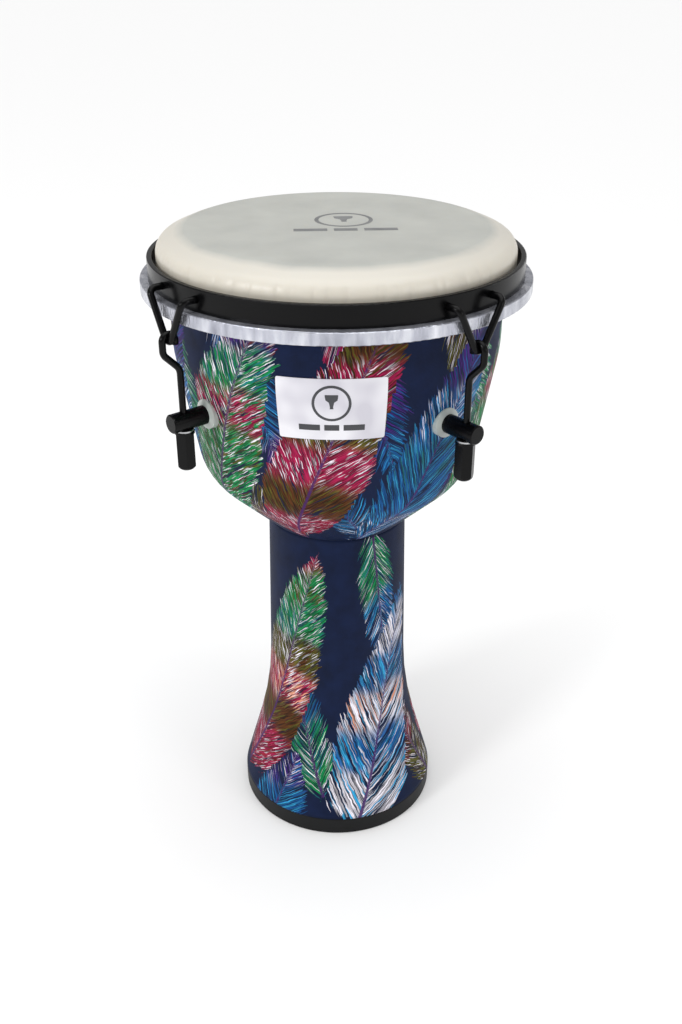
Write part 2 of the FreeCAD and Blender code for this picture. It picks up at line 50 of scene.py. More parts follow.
def linear(hexText):  # sRGB hex to the linear colour that shaders use
    parts = [int(hexText[i:i + 2], 16) / 255 for i in (1, 3, 5)]
    return tuple(c / 12.92 if c <= 0.04045 else ((c + 0.055) / 1.055) ** 2.4 for c in parts) + (1.0,)


def addNode(tree, kind, inputs=None, **settings):  # one node with its settings, values and links
    node = tree.nodes.new(kind)
    for name, value in settings.items():
        setattr(node, name, value)
    for key, value in (inputs or {}).items():
        if isinstance(value, bpy.types.NodeSocket):
            tree.links.new(value, node.inputs[key])
        else:
            node.inputs[key].default_value = value
    return node


def newMaterial(name):  # an empty tree with one Principled surface
    material = bpy.data.materials.new(name)
    material.use_nodes = True
    tree = material.node_tree
    tree.nodes.clear()
    surface = addNode(tree, "ShaderNodeBsdfPrincipled")
    addNode(tree, "ShaderNodeOutputMaterial", {"Surface": surface.outputs["BSDF"]})
    return material, tree, surface


def setRamp(node, *stops):
    ramp = node.color_ramp
    while len(ramp.elements) < len(stops):
        ramp.elements.new(0.5)
    for element, (place, colour) in zip(ramp.elements, stops):
        element.position = place
        element.color = colour if len(colour) == 4 else (*colour, 1)
    return node.outputs["Color"]


def roundedPath(corners, radii):  # an outline with its inner corners turned into arcs
    path = [Vector(corners[0])]
    for before, corner, after, radius in zip(corners, corners[1:], corners[2:], radii):
        corner = Vector(corner)
        back = (Vector(before) - corner).normalized()
        ahead = (Vector(after) - corner).normalized()
        half = back.angle(ahead) / 2
        middle = corner + (back + ahead).normalized() * radius / math.sin(half)
        first = corner + back * radius / math.tan(half) - middle
        last = corner + ahead * radius / math.tan(half) - middle
        steps = max(3, int(math.degrees(first.angle(last)) / 6))
        path += [middle + first.lerp(last, i / steps).normalized() * radius for i in range(steps + 1)]
    path.append(Vector(corners[-1]))
    return path


def evenly(path, spacing):  # the same path with points about spacing apart
    out = [path[0]]
    for a, b in zip(path, path[1:]):
        parts = max(1, round((b - a).length / spacing))
        out += [a.lerp(b, i / parts) for i in range(1, parts + 1)]
    return out


def inset(path, depth):  # the path moved to its left by depth, its ends square
    out = []
    for i, point in enumerate(path):
        way = (path[min(i + 1, len(path) - 1)] - path[max(i - 1, 0)]).normalized()
        out.append(point + Vector((-way.y, way.x)) * depth)
    return out


def newObject(name, mesh, material=None, smooth=True):
    if smooth:
        mesh.shade_smooth()
    if material:
        mesh.materials.append(material)
    piece = bpy.data.objects.new(name, mesh)
    bpy.context.scene.collection.objects.link(piece)
    return piece


def closedMesh(name, form):  # a mesh of the form, its faces outward
    bmesh.ops.recalc_face_normals(form, faces=form.faces)
    mesh = bpy.data.meshes.new(name)
    form.to_mesh(mesh)
    form.free()
    return mesh


def turned(name, outline, steps, tile):  # lathes a closed (radius, height) outline in mm about Z
    reach = [0.0]
    for a, b in zip(outline, outline[1:] + outline[:1]):
        reach.append(reach[-1] + (b - a).length)
    form = bmesh.new()
    uvLayer = form.loops.layers.uv.new("cloth")
    turns = [-math.pi + 2 * math.pi * i / steps for i in range(steps + 1)]
    rings = [[form.verts.new((p.x * math.sin(a) * mm, -p.x * math.cos(a) * mm, p.y * mm)) for p in outline]
             for a in turns[:-1]]
    count = len(outline)
    for i in range(steps):
        for j in range(count):
            k = (j + 1) % count
            left, right = rings[i], rings[(i + 1) % steps]
            face = form.faces.new((left[j], right[j], right[k], left[k]))
            places = ((i, j), (i + 1, j), (i + 1, j + 1), (i, j + 1))
            for loop, (column, row) in zip(face.loops, places):
                loop[uvLayer].uv = (turns[column] * tile * mm, reach[row] * mm)
    bmesh.ops.remove_doubles(form, verts=form.verts, dist=1e-7)
    return closedMesh(name, form)


def swept(name, path, radius, sides=20):  # a round bar with softly rounded ends along a path, in mm
    points = [Vector(path[0])]
    for p in path[1:]:
        if (Vector(p) - points[-1]).length > 0.05:
            points.append(Vector(p))
    last = len(points) - 1
    ways = [(points[min(i + 1, last)] - points[max(i - 1, 0)]).normalized() for i in range(last + 1)]
    across = ways[0].orthogonal().normalized()
    form = bmesh.new()
    rings = []

    def ring(middle, side, other, size):
        turns = [2 * math.pi * k / sides for k in range(sides)]
        rings.append([form.verts.new((middle + (side * math.cos(t) + other * math.sin(t)) * size) * mm)
                      for t in turns])

    edge = [(math.radians(d), 0.35) for d in (0, 30, 60, 90)]
    for i, (point, way) in enumerate(zip(points, ways)):
        across = (across - way * across.dot(way)).normalized()
        other = way.cross(across)
        if i == 0:
            for bendAngle, share in edge[:-1]:
                shrink = radius * share
                ring(point + way * shrink * (1 - math.sin(bendAngle)), across, other,
                     radius - shrink * (1 - math.cos(math.pi / 2 - bendAngle)))
        elif i == last:
            for bendAngle, share in edge[:-1][::-1]:
                shrink = radius * share
                ring(point - way * shrink * (1 - math.sin(bendAngle)), across, other,
                     radius - shrink * (1 - math.cos(math.pi / 2 - bendAngle)))
        else:
            ring(point, across, other, radius)
    for left, right in zip(rings, rings[1:]):
        for k in range(sides):
            form.faces.new((left[k], left[(k + 1) % sides], right[(k + 1) % sides], right[k]))
    form.faces.new(rings[0][::-1])
    form.faces.new(rings[-1])
    return closedMesh(name, form)


def raised(name, cells, place, height, lift=0.0):
    # flat quads in mm, thickened and laid on a surface by place()
    form = bmesh.new()
    low, high, edges = {}, {}, {}
    for cell in cells:
        keys = [(round(x, 4), round(y, 4)) for x, y in cell]
        for key in keys:
            if key not in low:
                low[key] = form.verts.new(place(key[0], key[1], lift))
                high[key] = form.verts.new(place(key[0], key[1], lift + height))
        form.faces.new([high[k] for k in keys])
        form.faces.new([low[k] for k in keys[::-1]])
        for a, b in zip(keys, keys[1:] + keys[:1]):
            if (b, a) in edges:
                del edges[(b, a)]
            else:
                edges[(a, b)] = True
    for a, b in edges:
        form.faces.new((low[a], low[b], high[b], high[a]))
    return closedMesh(name, form)


def aroundTree():  # one tree that repeats a piece about Z
    tree = bpy.data.node_groups.new("aroundAxis", "GeometryNodeTree")
    tree.is_modifier = True
    sockets = {}
    for name, kind, way in (("Piece", "Geometry", "INPUT"), ("Count", "Int", "INPUT"),
                            ("Start angle", "Float", "INPUT"), ("Finish", "Material", "INPUT"),
                            ("Result", "Geometry", "OUTPUT")):
        socket = tree.interface.new_socket(name=name, in_out=way, socket_type="NodeSocket" + kind)
        sockets[name] = socket.identifier
    given = addNode(tree, "NodeGroupInput").outputs
    points = addNode(tree, "GeometryNodePoints", {"Count": given["Count"]})
    share = addNode(tree, "ShaderNodeMath", {0: 2 * math.pi, 1: given["Count"]}, operation="DIVIDE")
    index = addNode(tree, "GeometryNodeInputIndex")
    angle = addNode(tree, "ShaderNodeMath",
                    {0: index.outputs[0], 1: share.outputs[0], 2: given["Start angle"]},
                    operation="MULTIPLY_ADD")
    turn = addNode(tree, "ShaderNodeCombineXYZ", {"Z": angle.outputs[0]})
    copies = addNode(tree, "GeometryNodeInstanceOnPoints",
                     {"Points": points.outputs[0], "Instance": given["Piece"], "Rotation": turn.outputs[0]})
    solid = addNode(tree, "GeometryNodeRealizeInstances", {0: copies.outputs[0]})
    painted = addNode(tree, "GeometryNodeSetMaterial",
                      {"Geometry": solid.outputs[0], "Material": given["Finish"]})
    addNode(tree, "NodeGroupOutput", {"Result": painted.outputs[0]})
    return tree, sockets


around, aroundSockets = aroundTree()


def repeated(name, mesh, count, start, material):  # the mesh repeated about Z, as one plain mesh
    template = newObject(name + "Template", mesh)
    modifier = template.modifiers.new("around", "NODES")
    modifier.node_group = around
    for key, value in (("Count", count), ("Start angle", start), ("Finish", material)):
        modifier[aroundSockets[key]] = value
    bpy.context.view_layer.update()
    graph = bpy.context.evaluated_depsgraph_get()
    result = bpy.data.meshes.new_from_object(template.evaluated_get(graph))
    template.modifiers.clear()
    bpy.data.objects.remove(template)
    result.name = name
    if not result.materials:
        result.materials.append(material)
    return newObject(name, result)


def metricNoise(tree, coords, size, detail=2.0, stretch=(1, 1, 1), roughness=0.5):
    # noise whose features are about size mm wide; stretch below 1 draws them out along that axis
    scaled = addNode(tree, "ShaderNodeVectorMath", {0: coords, 1: tuple(1000 / size * s for s in stretch)},
                     operation="MULTIPLY")
    return addNode(tree, "ShaderNodeTexNoise", {"Vector": scaled.outputs[0], "Scale": 1.0, "Detail": detail,
                                                "Roughness": roughness})


def bumped(tree, surface, height, depth, strength=1.0):
    bump = addNode(tree, "ShaderNodeBump", {"Height": height, "Distance": depth * mm, "Strength": strength})
    tree.links.new(bump.outputs[0], surface.inputs["Normal"])


def mixed(tree, share, a, b):  # colour a to colour b by share
    mix = addNode(tree, "ShaderNodeMix", data_type="RGBA")
    for index, value in ((0, share), (6, a), (7, b)):
        if isinstance(value, bpy.types.NodeSocket):
            tree.links.new(value, mix.inputs[index])
        else:
            mix.inputs[index].default_value = value
    return mix.outputs[2]


def plainMaterial(name, dark, light, roughness, size, depth, metallic=0.0, spread=0.08, **extra):
    # two close tones, uneven gloss and a fine surface, all at a real scale
    material, tree, surface = newMaterial(name)
    place = addNode(tree, "ShaderNodeTexCoord").outputs["Object"]
    tone = metricNoise(tree, place, size * 14)
    ramp = addNode(tree, "ShaderNodeValToRGB", {"Fac": tone.outputs["Fac"]})
    tree.links.new(setRamp(ramp, (0.3, linear(dark)), (0.7, linear(light))), surface.inputs["Base Color"])
    gloss = addNode(tree, "ShaderNodeMapRange", {"Value": tone.outputs["Fac"], "To Min": roughness - spread,
                                                 "To Max": roughness + spread})
    tree.links.new(gloss.outputs[0], surface.inputs["Roughness"])
    surface.inputs["Metallic"].default_value = metallic
    for key, value in extra.items():
        surface.inputs[key].default_value = value
    grain = metricNoise(tree, place, size, detail=3.0)
    bumped(tree, surface, grain.outputs["Fac"], depth)
    return material


# black powder coat on steel: a fine orange peel, satin
powderCoat = plainMaterial("blackPowderCoat", "#040405", "#070708", 0.24, 0.9, 0.012, spread=0.05,
                           **{"Specular IOR Level": 0.14})
# matte black moulded composite of the shell
mouldedShell = plainMaterial("mouldedComposite", "#17171A", "#222226", 0.6, 1.5, 0.08)
# black rubber of the foot ring
footRubber = plainMaterial("blackRubber", "#08090A", "#0F1012", 0.5, 0.9, 0.04,
                           **{"Specular IOR Level": 0.2})
# zinc plated steel of screws and washers
zincSteel = plainMaterial("zincPlatedSteel", "#9A9B9D", "#C4C5C7", 0.32, 0.5, 0.01, metallic=1.0)
# cast filling in the head's channel
castResin = plainMaterial("castResin", "#CFCCC2", "#DEDBD2", 0.4, 1.2, 0.03)
# clear moulded plastic of the saddles, slightly milky
clearPlastic = plainMaterial("milkyClearPlastic", "#DCE6E0", "#F2F7F3", 0.12, 1.6, 0.02, spread=0.05,
                             **{"Transmission Weight": 0.5, "IOR": 1.46})


def rolledChannel():  # bright aluminium channel, rolled and a little rippled round the drum, with painted reflection streaks in its colour
    material, tree, surface = newMaterial("rolledAluminium")
    place = addNode(tree, "ShaderNodeTexCoord").outputs["Object"]
    ripple = metricNoise(tree, place, 9.0, detail=3.0, stretch=(1, 1, 0.25))
    fine = metricNoise(tree, place, 1.6, detail=2.0, stretch=(1, 1, 0.3))
    # painted reflection: light and dark streaks drawn out up the channel set in its colour; the same noise
    # gives the real ripple in the bump
    tone = addNode(tree, "ShaderNodeValToRGB", {"Fac": ripple.outputs["Fac"]})
    reflectionStreaks = setRamp(tone, (0.25, linear("#8A8C98")), (0.5, linear("#BBBDC7")), (0.75, linear("#E4E5EC")))
    tree.links.new(reflectionStreaks, surface.inputs["Base Color"])
    both = addNode(tree, "ShaderNodeMath", {0: ripple.outputs["Fac"], 1: fine.outputs["Fac"]},
                   operation="ADD")
    bumped(tree, surface, both.outputs[0], 0.5)
    surface.inputs["Metallic"].default_value = 0.75
    surface.inputs["Roughness"].default_value = 0.27
    return material


def headFilm():  # cream film with a grey textured coat on its playing area, and painted shade darkening the cream towards the bottom of its collar
    material, tree, surface = newMaterial("coatedHeadFilm")
    place = addNode(tree, "ShaderNodeTexCoord").outputs["Object"]
    parts = addNode(tree, "ShaderNodeSeparateXYZ", {0: place})
    flat = addNode(tree, "ShaderNodeCombineXYZ", {"X": parts.outputs["X"], "Y": parts.outputs["Y"]})
    reach = addNode(tree, "ShaderNodeVectorMath", {0: flat.outputs[0]}, operation="LENGTH")
    cloud = metricNoise(tree, place, 38.0, detail=4.0)
    edge = addNode(tree, "ShaderNodeMath", {0: cloud.outputs["Fac"], 1: 0.006, 2: reach.outputs["Value"]},
                   operation="MULTIPLY_ADD")
    coat = addNode(tree, "ShaderNodeMapRange", {"Value": edge.outputs[0], "From Min": 0.1100,
                                                "From Max": 0.1175, "To Min": 1.0, "To Max": 0.0})
    grey = addNode(tree, "ShaderNodeValToRGB", {"Fac": cloud.outputs["Fac"]})
    setRamp(grey, (0.3, linear("#A9AAA5")), (0.7, linear("#B4B5AF")))
    # painted shade: the cream turns darker towards the bottom of the collar, down by the hoop
    collarShade = addNode(tree, "ShaderNodeMapRange", {"Value": parts.outputs["Z"], "From Min": 0.466,
                                                 "From Max": 0.492})
    creamWithShade = addNode(tree, "ShaderNodeValToRGB", {"Fac": collarShade.outputs[0]})
    setRamp(creamWithShade, (0.0, linear("#BDB5A5")), (0.6, linear("#D3CDC0")), (1.0, linear("#CECAC0")))
    tree.links.new(mixed(tree, coat.outputs[0], creamWithShade.outputs[0], grey.outputs[0]),
                   surface.inputs["Base Color"])
    rough = addNode(tree, "ShaderNodeMapRange", {"Value": coat.outputs[0], "To Min": 0.38, "To Max": 0.62})
    tree.links.new(rough.outputs[0], surface.inputs["Roughness"])
    grain = metricNoise(tree, place, 0.9, detail=3.0)
    lifted = addNode(tree, "ShaderNodeMath", {0: grain.outputs["Fac"], 1: coat.outputs[0]},
                     operation="MULTIPLY")
    bumped(tree, surface, lifted.outputs[0], 0.06)
    surface.inputs["Subsurface Weight"].default_value = 0.08
    surface.inputs["Subsurface Radius"].default_value = (0.002, 0.0015, 0.001)
    return material


def badgeFoil():  # bright faced foil with a soft uneven sheen
    material, tree, surface = newMaterial("badgeFoil")
    place = addNode(tree, "ShaderNodeTexCoord").outputs["Object"]
    cloud = metricNoise(tree, place, 26.0, detail=1.0)
    tone = addNode(tree, "ShaderNodeValToRGB", {"Fac": cloud.outputs["Fac"]})
    tree.links.new(setRamp(tone, (0.35, linear("#C9C7D0")), (0.6, linear("#E6E5EA"))),
                   surface.inputs["Base Color"])
    brush = metricNoise(tree, place, 0.6, detail=2.0, stretch=(1, 1, 0.05))
    bumped(tree, surface, brush.outputs["Fac"], 0.01)
    surface.inputs["Metallic"].default_value = 0.6
    surface.inputs["Roughness"].default_value = 0.3
    return material


def printedCloth():  # woven cloth with printed barbs; the mesh says where each stroke lies and its inks
    material, tree, surface = newMaterial("printedCloth")
    cloth = addNode(tree, "ShaderNodeUVMap", uv_map="cloth").outputs[0]
    told = {name: addNode(tree, "ShaderNodeAttribute", attribute_name=name).outputs
            for name in ("stroke", "cover", "inkBase", "inkSecond", "inkBright", "quill")}
    waver = metricNoise(tree, cloth, 7.0, detail=2.0)
    shake = addNode(tree, "ShaderNodeVectorMath", {0: waver.outputs["Color"], 1: (2.2, 0.0, 0.0)},
                    operation="MULTIPLY")
    stroke = addNode(tree, "ShaderNodeVectorMath", {0: told["stroke"]["Vector"], 1: shake.outputs[0]},
                     operation="ADD").outputs[0]

    def streaks(width, length, shift):  # smooth noise drawn out along the strokes, so its crests taper
        scaled = addNode(tree, "ShaderNodeVectorMath",
                         {0: stroke, 1: (1 / width, 1 / length, 1.0), 2: (0, 0, shift)},
                         operation="MULTIPLY_ADD")
        return addNode(tree, "ShaderNodeTexNoise", {"Vector": scaled.outputs[0], "Scale": 1.0,
                                                    "Detail": 1.0, "Roughness": 0.5}).outputs["Fac"]

    def above(value, level, soft):
        return addNode(tree, "ShaderNodeMapRange", {"Value": value, "From Min": level - soft,
                                                    "From Max": level + soft}).outputs[0]

    fineStreaks, wideStreaks = streaks(0.9, 17.0, 3.7), streaks(2.2, 26.0, 11.3)
    both = addNode(tree, "ShaderNodeMath", {0: fineStreaks, 1: wideStreaks}, operation="ADD")
    level = addNode(tree, "ShaderNodeMapRange", {"Value": told["cover"]["Fac"], "To Min": 1.32,
                                                 "To Max": 0.72})
    gap = addNode(tree, "ShaderNodeMath", {0: both.outputs[0], 1: level.outputs[0]}, operation="SUBTRACT")
    inked = addNode(tree, "ShaderNodeMapRange", {"Value": gap.outputs[0], "From Min": -0.012,
                                                 "From Max": 0.02})
    ink = mixed(tree, above(streaks(1.5, 18.0, 23.1), 0.56, 0.012), told["inkBase"]["Color"],
                told["inkSecond"]["Color"])
    ink = mixed(tree, above(streaks(0.85, 12.0, 37.9), 0.6, 0.015), ink, told["inkBright"]["Color"])
    depth = addNode(tree, "ShaderNodeMapRange", {"Value": streaks(0.7, 12.0, 51.3), "From Min": 0.35,
                                                 "From Max": 0.65, "To Min": 0.2, "To Max": 1.25})
    shade = addNode(tree, "ShaderNodeVectorMath", {0: ink, "Scale": depth.outputs[0]}, operation="SCALE")
    ground = metricNoise(tree, cloth, 16.0, detail=4.0)
    navy = addNode(tree, "ShaderNodeValToRGB", {"Fac": ground.outputs["Fac"]})
    setRamp(navy, (0.3, linear("#0B1733")), (0.7, linear("#101F42")))
    colour = mixed(tree, inked.outputs[0], navy.outputs[0], shade.outputs[0])
    line = addNode(tree, "ShaderNodeMapRange", {"Value": told["quill"]["Fac"], "From Min": 1.0,
                                                "From Max": 1.7, "To Min": 0.92, "To Max": 0.0})
    colour = mixed(tree, line.outputs[0], colour, linear("#472262"))
    weaveScale = addNode(tree, "ShaderNodeVectorMath", {0: cloth, "Scale": 1000.0},
                         operation="SCALE").outputs[0]
    threads = [addNode(tree, "ShaderNodeTexWave", {"Vector": weaveScale, "Scale": 0.349, "Distortion": 0.6,
                                                   "Detail": 1.0}, bands_direction=way) for way in "XY"]
    weave = addNode(tree, "ShaderNodeMath", {0: threads[0].outputs["Fac"], 1: threads[1].outputs["Fac"]},
                    operation="MULTIPLY")
    speck = addNode(tree, "ShaderNodeMapRange", {"Value": weave.outputs[0], "To Min": 0.86, "To Max": 1.12})
    final = addNode(tree, "ShaderNodeVectorMath", {0: colour, "Scale": speck.outputs[0]}, operation="SCALE")
    tree.links.new(final.outputs[0], surface.inputs["Base Color"])
    surface.inputs["Roughness"].default_value = 0.6
    surface.inputs["Specular IOR Level"].default_value = 0.12
    bumped(tree, surface, weave.outputs[0], 0.12, 0.6)
    return material


cloth = printedCloth()
channel = rolledChannel()
film = headFilm()
foil = badgeFoil()
# dark printing ink of the emblems
darkInk = plainMaterial("darkInk", "#35363A", "#404146", 0.5, 0.8, 0.005)
greyInk = plainMaterial("greyInk", "#6C6D6E", "#7C7D7D", 0.6, 0.8, 0.005)
print("materials made")


# the print: plain feathers in an even drop round the cloth, each laid out in mm round and up it
inks = {"n": "#152143", "c": "#A3184A", "r": "#8E1826", "b": "#57300F", "o": "#5C5A1C", "g": "#128A4C",
        "t": "#1F7580", "u": "#145C9E", "y": "#35A3D8", "p": "#44207A", "m": "#7F2480", "w": "#EEEAF4",
        "e": "#E3A083", "a": "#CF5E2C"}


def feather(root, tip, width, bands, ink=0.85, slope=1.4, size=(1.0, 1.2)):
    # bands name three inks each (base, second, bright) from root to tip
    root, tip = Vector(root), Vector(tip)
    spine = tip - root
    aside = Vector((spine.y, -spine.x)).normalized() * width
    steps = [i / 14 for i in range(15)]
    rim = {s: abs(math.sin(math.pi * s ** 0.7)) ** 0.6 for s in steps}
    edge = [root + spine * s + aside * rim[s] for s in steps]
    edge += [root + spine * s - aside * rim[s] for s in steps[-2:0:-1]]
    spots = []
    for i, band in enumerate(bands):
        for way in (-0.5, 0.5):
            middle = root + spine * ((i + 0.5 + 0.3 * way) / len(bands) + 0.08) + aside * way
            spots.append((middle.x, middle.y, band))
    return dict(edge=[(p.x, p.y) for p in edge], root=((root.x, root.y), (tip.x, tip.y)), slope=slope,
                ink=ink, size=size, spots=spots)


bowlPrint = [
    feather((74, 2), (20, 132), 21, ["uyw", "uyn", "uty"], ink=0.6, size=(0.7, 2.4)),
    feather((152, 6), (98, 136), 21, ["gtw", "pun", "uyn"], ink=0.6, size=(0.7, 2.4)),
    feather((230, 2), (176, 132), 21, ["rcw", "obw", "gtn"], ink=0.7, size=(0.8, 1.8)),
    feather((44, 214), (84, 96), 22, ["cmw", "pun", "uyn"], ink=0.7, size=(0.8, 2.0)),
    feather((122, 218), (164, 100), 22, ["obw", "gtw", "gtn"], ink=0.7, size=(0.8, 1.6)),
    feather((200, 214), (240, 96), 22, ["uyw", "uyn", "pmw"], ink=0.65, size=(0.7, 2.2)),
    feather((-8, 14), (78, 232), 36, ["crw", "bob", "ccw", "obw", "cbw", "bob", "crw"], ink=0.93),
    feather((72, -2), (154, 214), 33, ["uyw", "uyn", "uty", "uyw", "pun", "pmw"], ink=0.72, size=(0.8, 2.2)),
    feather((148, 18), (236, 236), 35, ["gtw", "gbw", "gow", "cgw", "gtw", "prw", "obw"], ink=0.88),
]
stemPrint = [
    feather((78, -10), (34, 116), 19, ["obw", "bcw", "mpw"], ink=0.75),
    feather((180, 20), (134, 170), 19, ["gtw", "utn", "uyn"], ink=0.65, size=(0.8, 2.0)),
    feather((20, 262), (38, 120), 20, ["gtw", "uyw", "uyn"], ink=0.7, size=(0.8, 1.8)),
    feather((-2, -10), (62, 200), 38, ["wyn", "uyw", "wey", "uyw", "wuw", "uyn"], ink=0.78, size=(1.3, 2.4)),
    feather((100, 10), (172, 244), 36, ["crw", "bob", "cew", "obw", "gtw", "gow", "crw"], ink=0.93),
    feather((124, -90), (158, 60), 26, ["mpw", "uyn", "puw"], ink=0.7, size=(0.8, 2.0)),
]


def insideBy(px, py, corners):  # how far inside a polygon each point lies, in mm, negative outside
    best = np.full(px.shape, 1e9)
    inside = np.zeros(px.shape, bool)
    for (ax, ay), (bx, by) in zip(corners, corners[1:] + corners[:1]):
        dx, dy = bx - ax, by - ay
        t = np.clip(((px - ax) * dx + (py - ay) * dy) / (dx * dx + dy * dy), 0, 1)
        best = np.minimum(best, np.hypot(px - ax - t * dx, py - ay - t * dy))
        if ay != by:
            crosses = ((ay > py) != (by > py)) & (px < (bx - ax) * (py - ay) / (by - ay) + ax)
            inside ^= crosses
    return np.where(inside, best, -best)


def printOn(mesh, plan, width, repeats, start, soft=7.0):
    # stores at each face corner its place on a stroke, how much ink its feather carries and the three inks
    count = len(mesh.loops)
    uv = np.empty(count * 2, np.float32)
    mesh.uv_layers["cloth"].data.foreach_get("uv", uv)
    across, reach = uv[0::2].astype(float) / mm - start, uv[1::2].astype(float) / mm
    faceOf = np.repeat(np.arange(len(mesh.polygons)), [p.loop_total for p in mesh.polygons])
    sizes = np.bincount(faceOf)
    middle = [np.bincount(faceOf, a) / sizes for a in (across, reach)]
    stroke, cover = np.zeros((count, 3)), np.zeros(count)
    colours = np.zeros((3, count, 4))
    colours[..., 3] = 1
    quill = np.full(count, 50.0)
    won = np.zeros(len(sizes))
    for number, region in enumerate(plan):
        (ax, ay), (bx, by) = region["root"]
        length = math.hypot(bx - ax, by - ay)
        wx, wy = (bx - ax) / length, (by - ay) / length
        slope, (broad, long) = region["slope"], region["size"]
        for copy in range(-repeats, repeats + 1):
            shift = copy * width / repeats
            depth = insideBy(middle[0] - shift, middle[1], region["edge"])
            score = np.clip(0.5 + depth / soft, 0, 1) * (1 + 0.02 * number)
            taken = (score > won) & (depth > -soft / 2)
            if not taken.any():
                continue
            won = np.where(taken, score, won)
            at = taken[faceOf]
            x, y = across[at] - shift, reach[at]
            cover[at] = np.clip(0.5 + insideBy(x, y, region["edge"]) / soft, 0, 1) * region["ink"]
            forward, side = (x - ax) * wx + (y - ay) * wy, (x - ax) * wy - (y - ay) * wx
            beside = (forward - slope * np.abs(side)) / math.sqrt(1 + slope ** 2)
            along = np.abs(side) * math.sqrt(1 + slope ** 2) + 400 * (side < 0)
            stroke[at] = np.stack([beside / broad + 91 * number, along / long + 57 * (copy % 3),
                                   np.zeros_like(along)], 1)
            end = np.clip(forward, 0, length)
            quill[at] = np.hypot(side, forward - end) + 0.9 * end / length
            pull = [1 / (((x - u) ** 2 + (y - v) ** 2) + 9) ** 3 for u, v, name in region["spots"]]
            total = np.sum(pull, 0)
            for layer in range(3):
                paint = np.array([linear(inks[name[layer]])[:3] for u, v, name in region["spots"]])
                colours[layer][at, :3] = np.einsum("sp,sc->pc", pull, paint) / total[:, None]
    layers = {"stroke": ("FLOAT_VECTOR", "vector", stroke), "cover": ("FLOAT", "value", cover),
              "quill": ("FLOAT", "value", quill)}
    for name, paint in zip(("inkBase", "inkSecond", "inkBright"), colours):
        layers[name] = ("FLOAT_COLOR", "color", paint)
    for name, (kind, field, data) in layers.items():
        stored = mesh.attributes.new(name, kind, "CORNER").data
        stored.foreach_set(field, data.astype(np.float32).ravel())


def clothTube(name, size, plan, standsFor):  # a printed tube of cloth stretched on the shell
    outer = evenly(roundedPath(size["outer"], size["bends"]), 2.6)
    mesh = turned(name, outer + inset(outer, size["thickness"])[::-1], size["steps"], size["tile"])
    printOn(mesh, plan, 2 * math.pi * size["tile"], size["repeats"], size["printStart"])
    piece = newObject(name, mesh, cloth)
    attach(piece, "shell")
    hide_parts(standsFor)
    return piece


# radius and height along each cloth in mm; tile is the radius at which the print keeps its true width
bowl = dict(outer=[(54.1, 270), (102.8, 316.4), (119.7, 412), (119.7, 462.6)], bends=[45.7, 120.7],
            widest=119.7, thickness=0.62, steps=300, tile=112, repeats=3, printStart=-30.0)
bowlCloth = clothTube("bowlCloth", bowl, bowlPrint, "bowl_fabric")

stem = dict(outer=[(81.8, 15.3), (57.1, 102.5), (54.1, 270)], bends=[300],
            widest=81.8, thickness=0.62, steps=200, tile=65, repeats=2, printStart=20.0)
stemCloth = clothTube("stemCloth", stem, stemPrint, "stem_fabric")
print("cloth made:", len(bowlCloth.data.polygons), len(stemCloth.data.polygons), "faces")


# the head: film drawn over the rim, finely pleated where it goes down into its channel
head = dict(outer=[(0, 494.9), (108, 494.9), (127, 487), (127, 459.3)], bends=[25, 11], thickness=0.9,
            steps=720, creases=150, crease=0.5)
headPath = evenly(roundedPath(head["outer"], head["bends"]), 1.6)
headPath = [p for i, p in enumerate(headPath) if p.x > 100 or i % 12 == 0]
headMesh = turned("headFilm", headPath + inset(headPath, -head["thickness"])[::-1], head["steps"], 100)
chance = np.random.default_rng(7)
turnAt = np.arange(head["steps"]) * 360 / head["steps"]
creases = np.zeros(head["steps"])
for _ in range(head["creases"]):
    off = (turnAt - chance.uniform(0, 360) + 180) % 360 - 180
    creases += chance.uniform(0.3, 1.0) * np.exp(-(off / chance.uniform(0.4, 0.9)) ** 2)
creases = np.clip(creases, 0, 1.2)
for vertex in headMesh.vertices:
    x, y, z = vertex.co
    share = min(1.0, max(0.0, (0.4895 - z) / 0.006)) * (math.hypot(x, y) > 0.11)
    if share:
        number = round((math.atan2(x, -y) / (2 * math.pi) + 0.5) * head["steps"]) % head["steps"]
        vertex.co -= Vector((x, y, 0)).normalized() * float(creases[number]) * head["crease"] * mm * share
headPiece = newObject("headFilm", headMesh, film)
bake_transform(headPiece)
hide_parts("drumhead")


def emblemCells(size):  # quads in mm of a plain ring, goblet outline and bars, this tall
    cells = []
    for i in range(40):
        a, b = 2 * math.pi * i / 40, 2 * math.pi * (i + 1) / 40
        cells.append([(size * r * math.cos(t), size * (0.14 + r * math.sin(t)))
                      for r, t in ((0.36, a), (0.36, b), (0.31, b), (0.31, a))])
    outline = [(-0.155, 0.045), (-0.105, 0.035), (0.0, 0.05), (0.06, 0.062), (0.13, 0.135), (0.25, 0.15),
               (0.30, 0.15)]
    for (v0, w0), (v1, w1) in zip(outline, outline[1:]):
        for k in range(4):
            a, b = -1 + k / 2, -0.5 + k / 2
            cells.append([(a * w0 * size * 0.8, v0 * size * 0.62 + 0.13 * size),
                          (b * w0 * size * 0.8, v0 * size * 0.62 + 0.13 * size),
                          (b * w1 * size * 0.8, v1 * size * 0.62 + 0.13 * size),
                          (a * w1 * size * 0.8, v1 * size * 0.62 + 0.13 * size)])
    for left, right in ((-0.62, -0.22), (-0.14, 0.14), (0.22, 0.62)):
        for k in range(6):
            a, b = left + (right - left) * k / 6, left + (right - left) * (k + 1) / 6
            cells.append([(a * size, -0.42 * size), (b * size, -0.42 * size), (b * size, -0.30 * size),
                          (a * size, -0.30 * size)])
    return cells


# the plate in mm and degrees round the bowl, whose wall tapers below its shoulder
badge = dict(middle=3.75, width=35.0, low=381.0, high=425.5, radius=119.78, thickness=0.45, corner=1.4,
             shoulder=412, taper=0.1768, softened=10.6, softDepth=0.42, emblem=36)


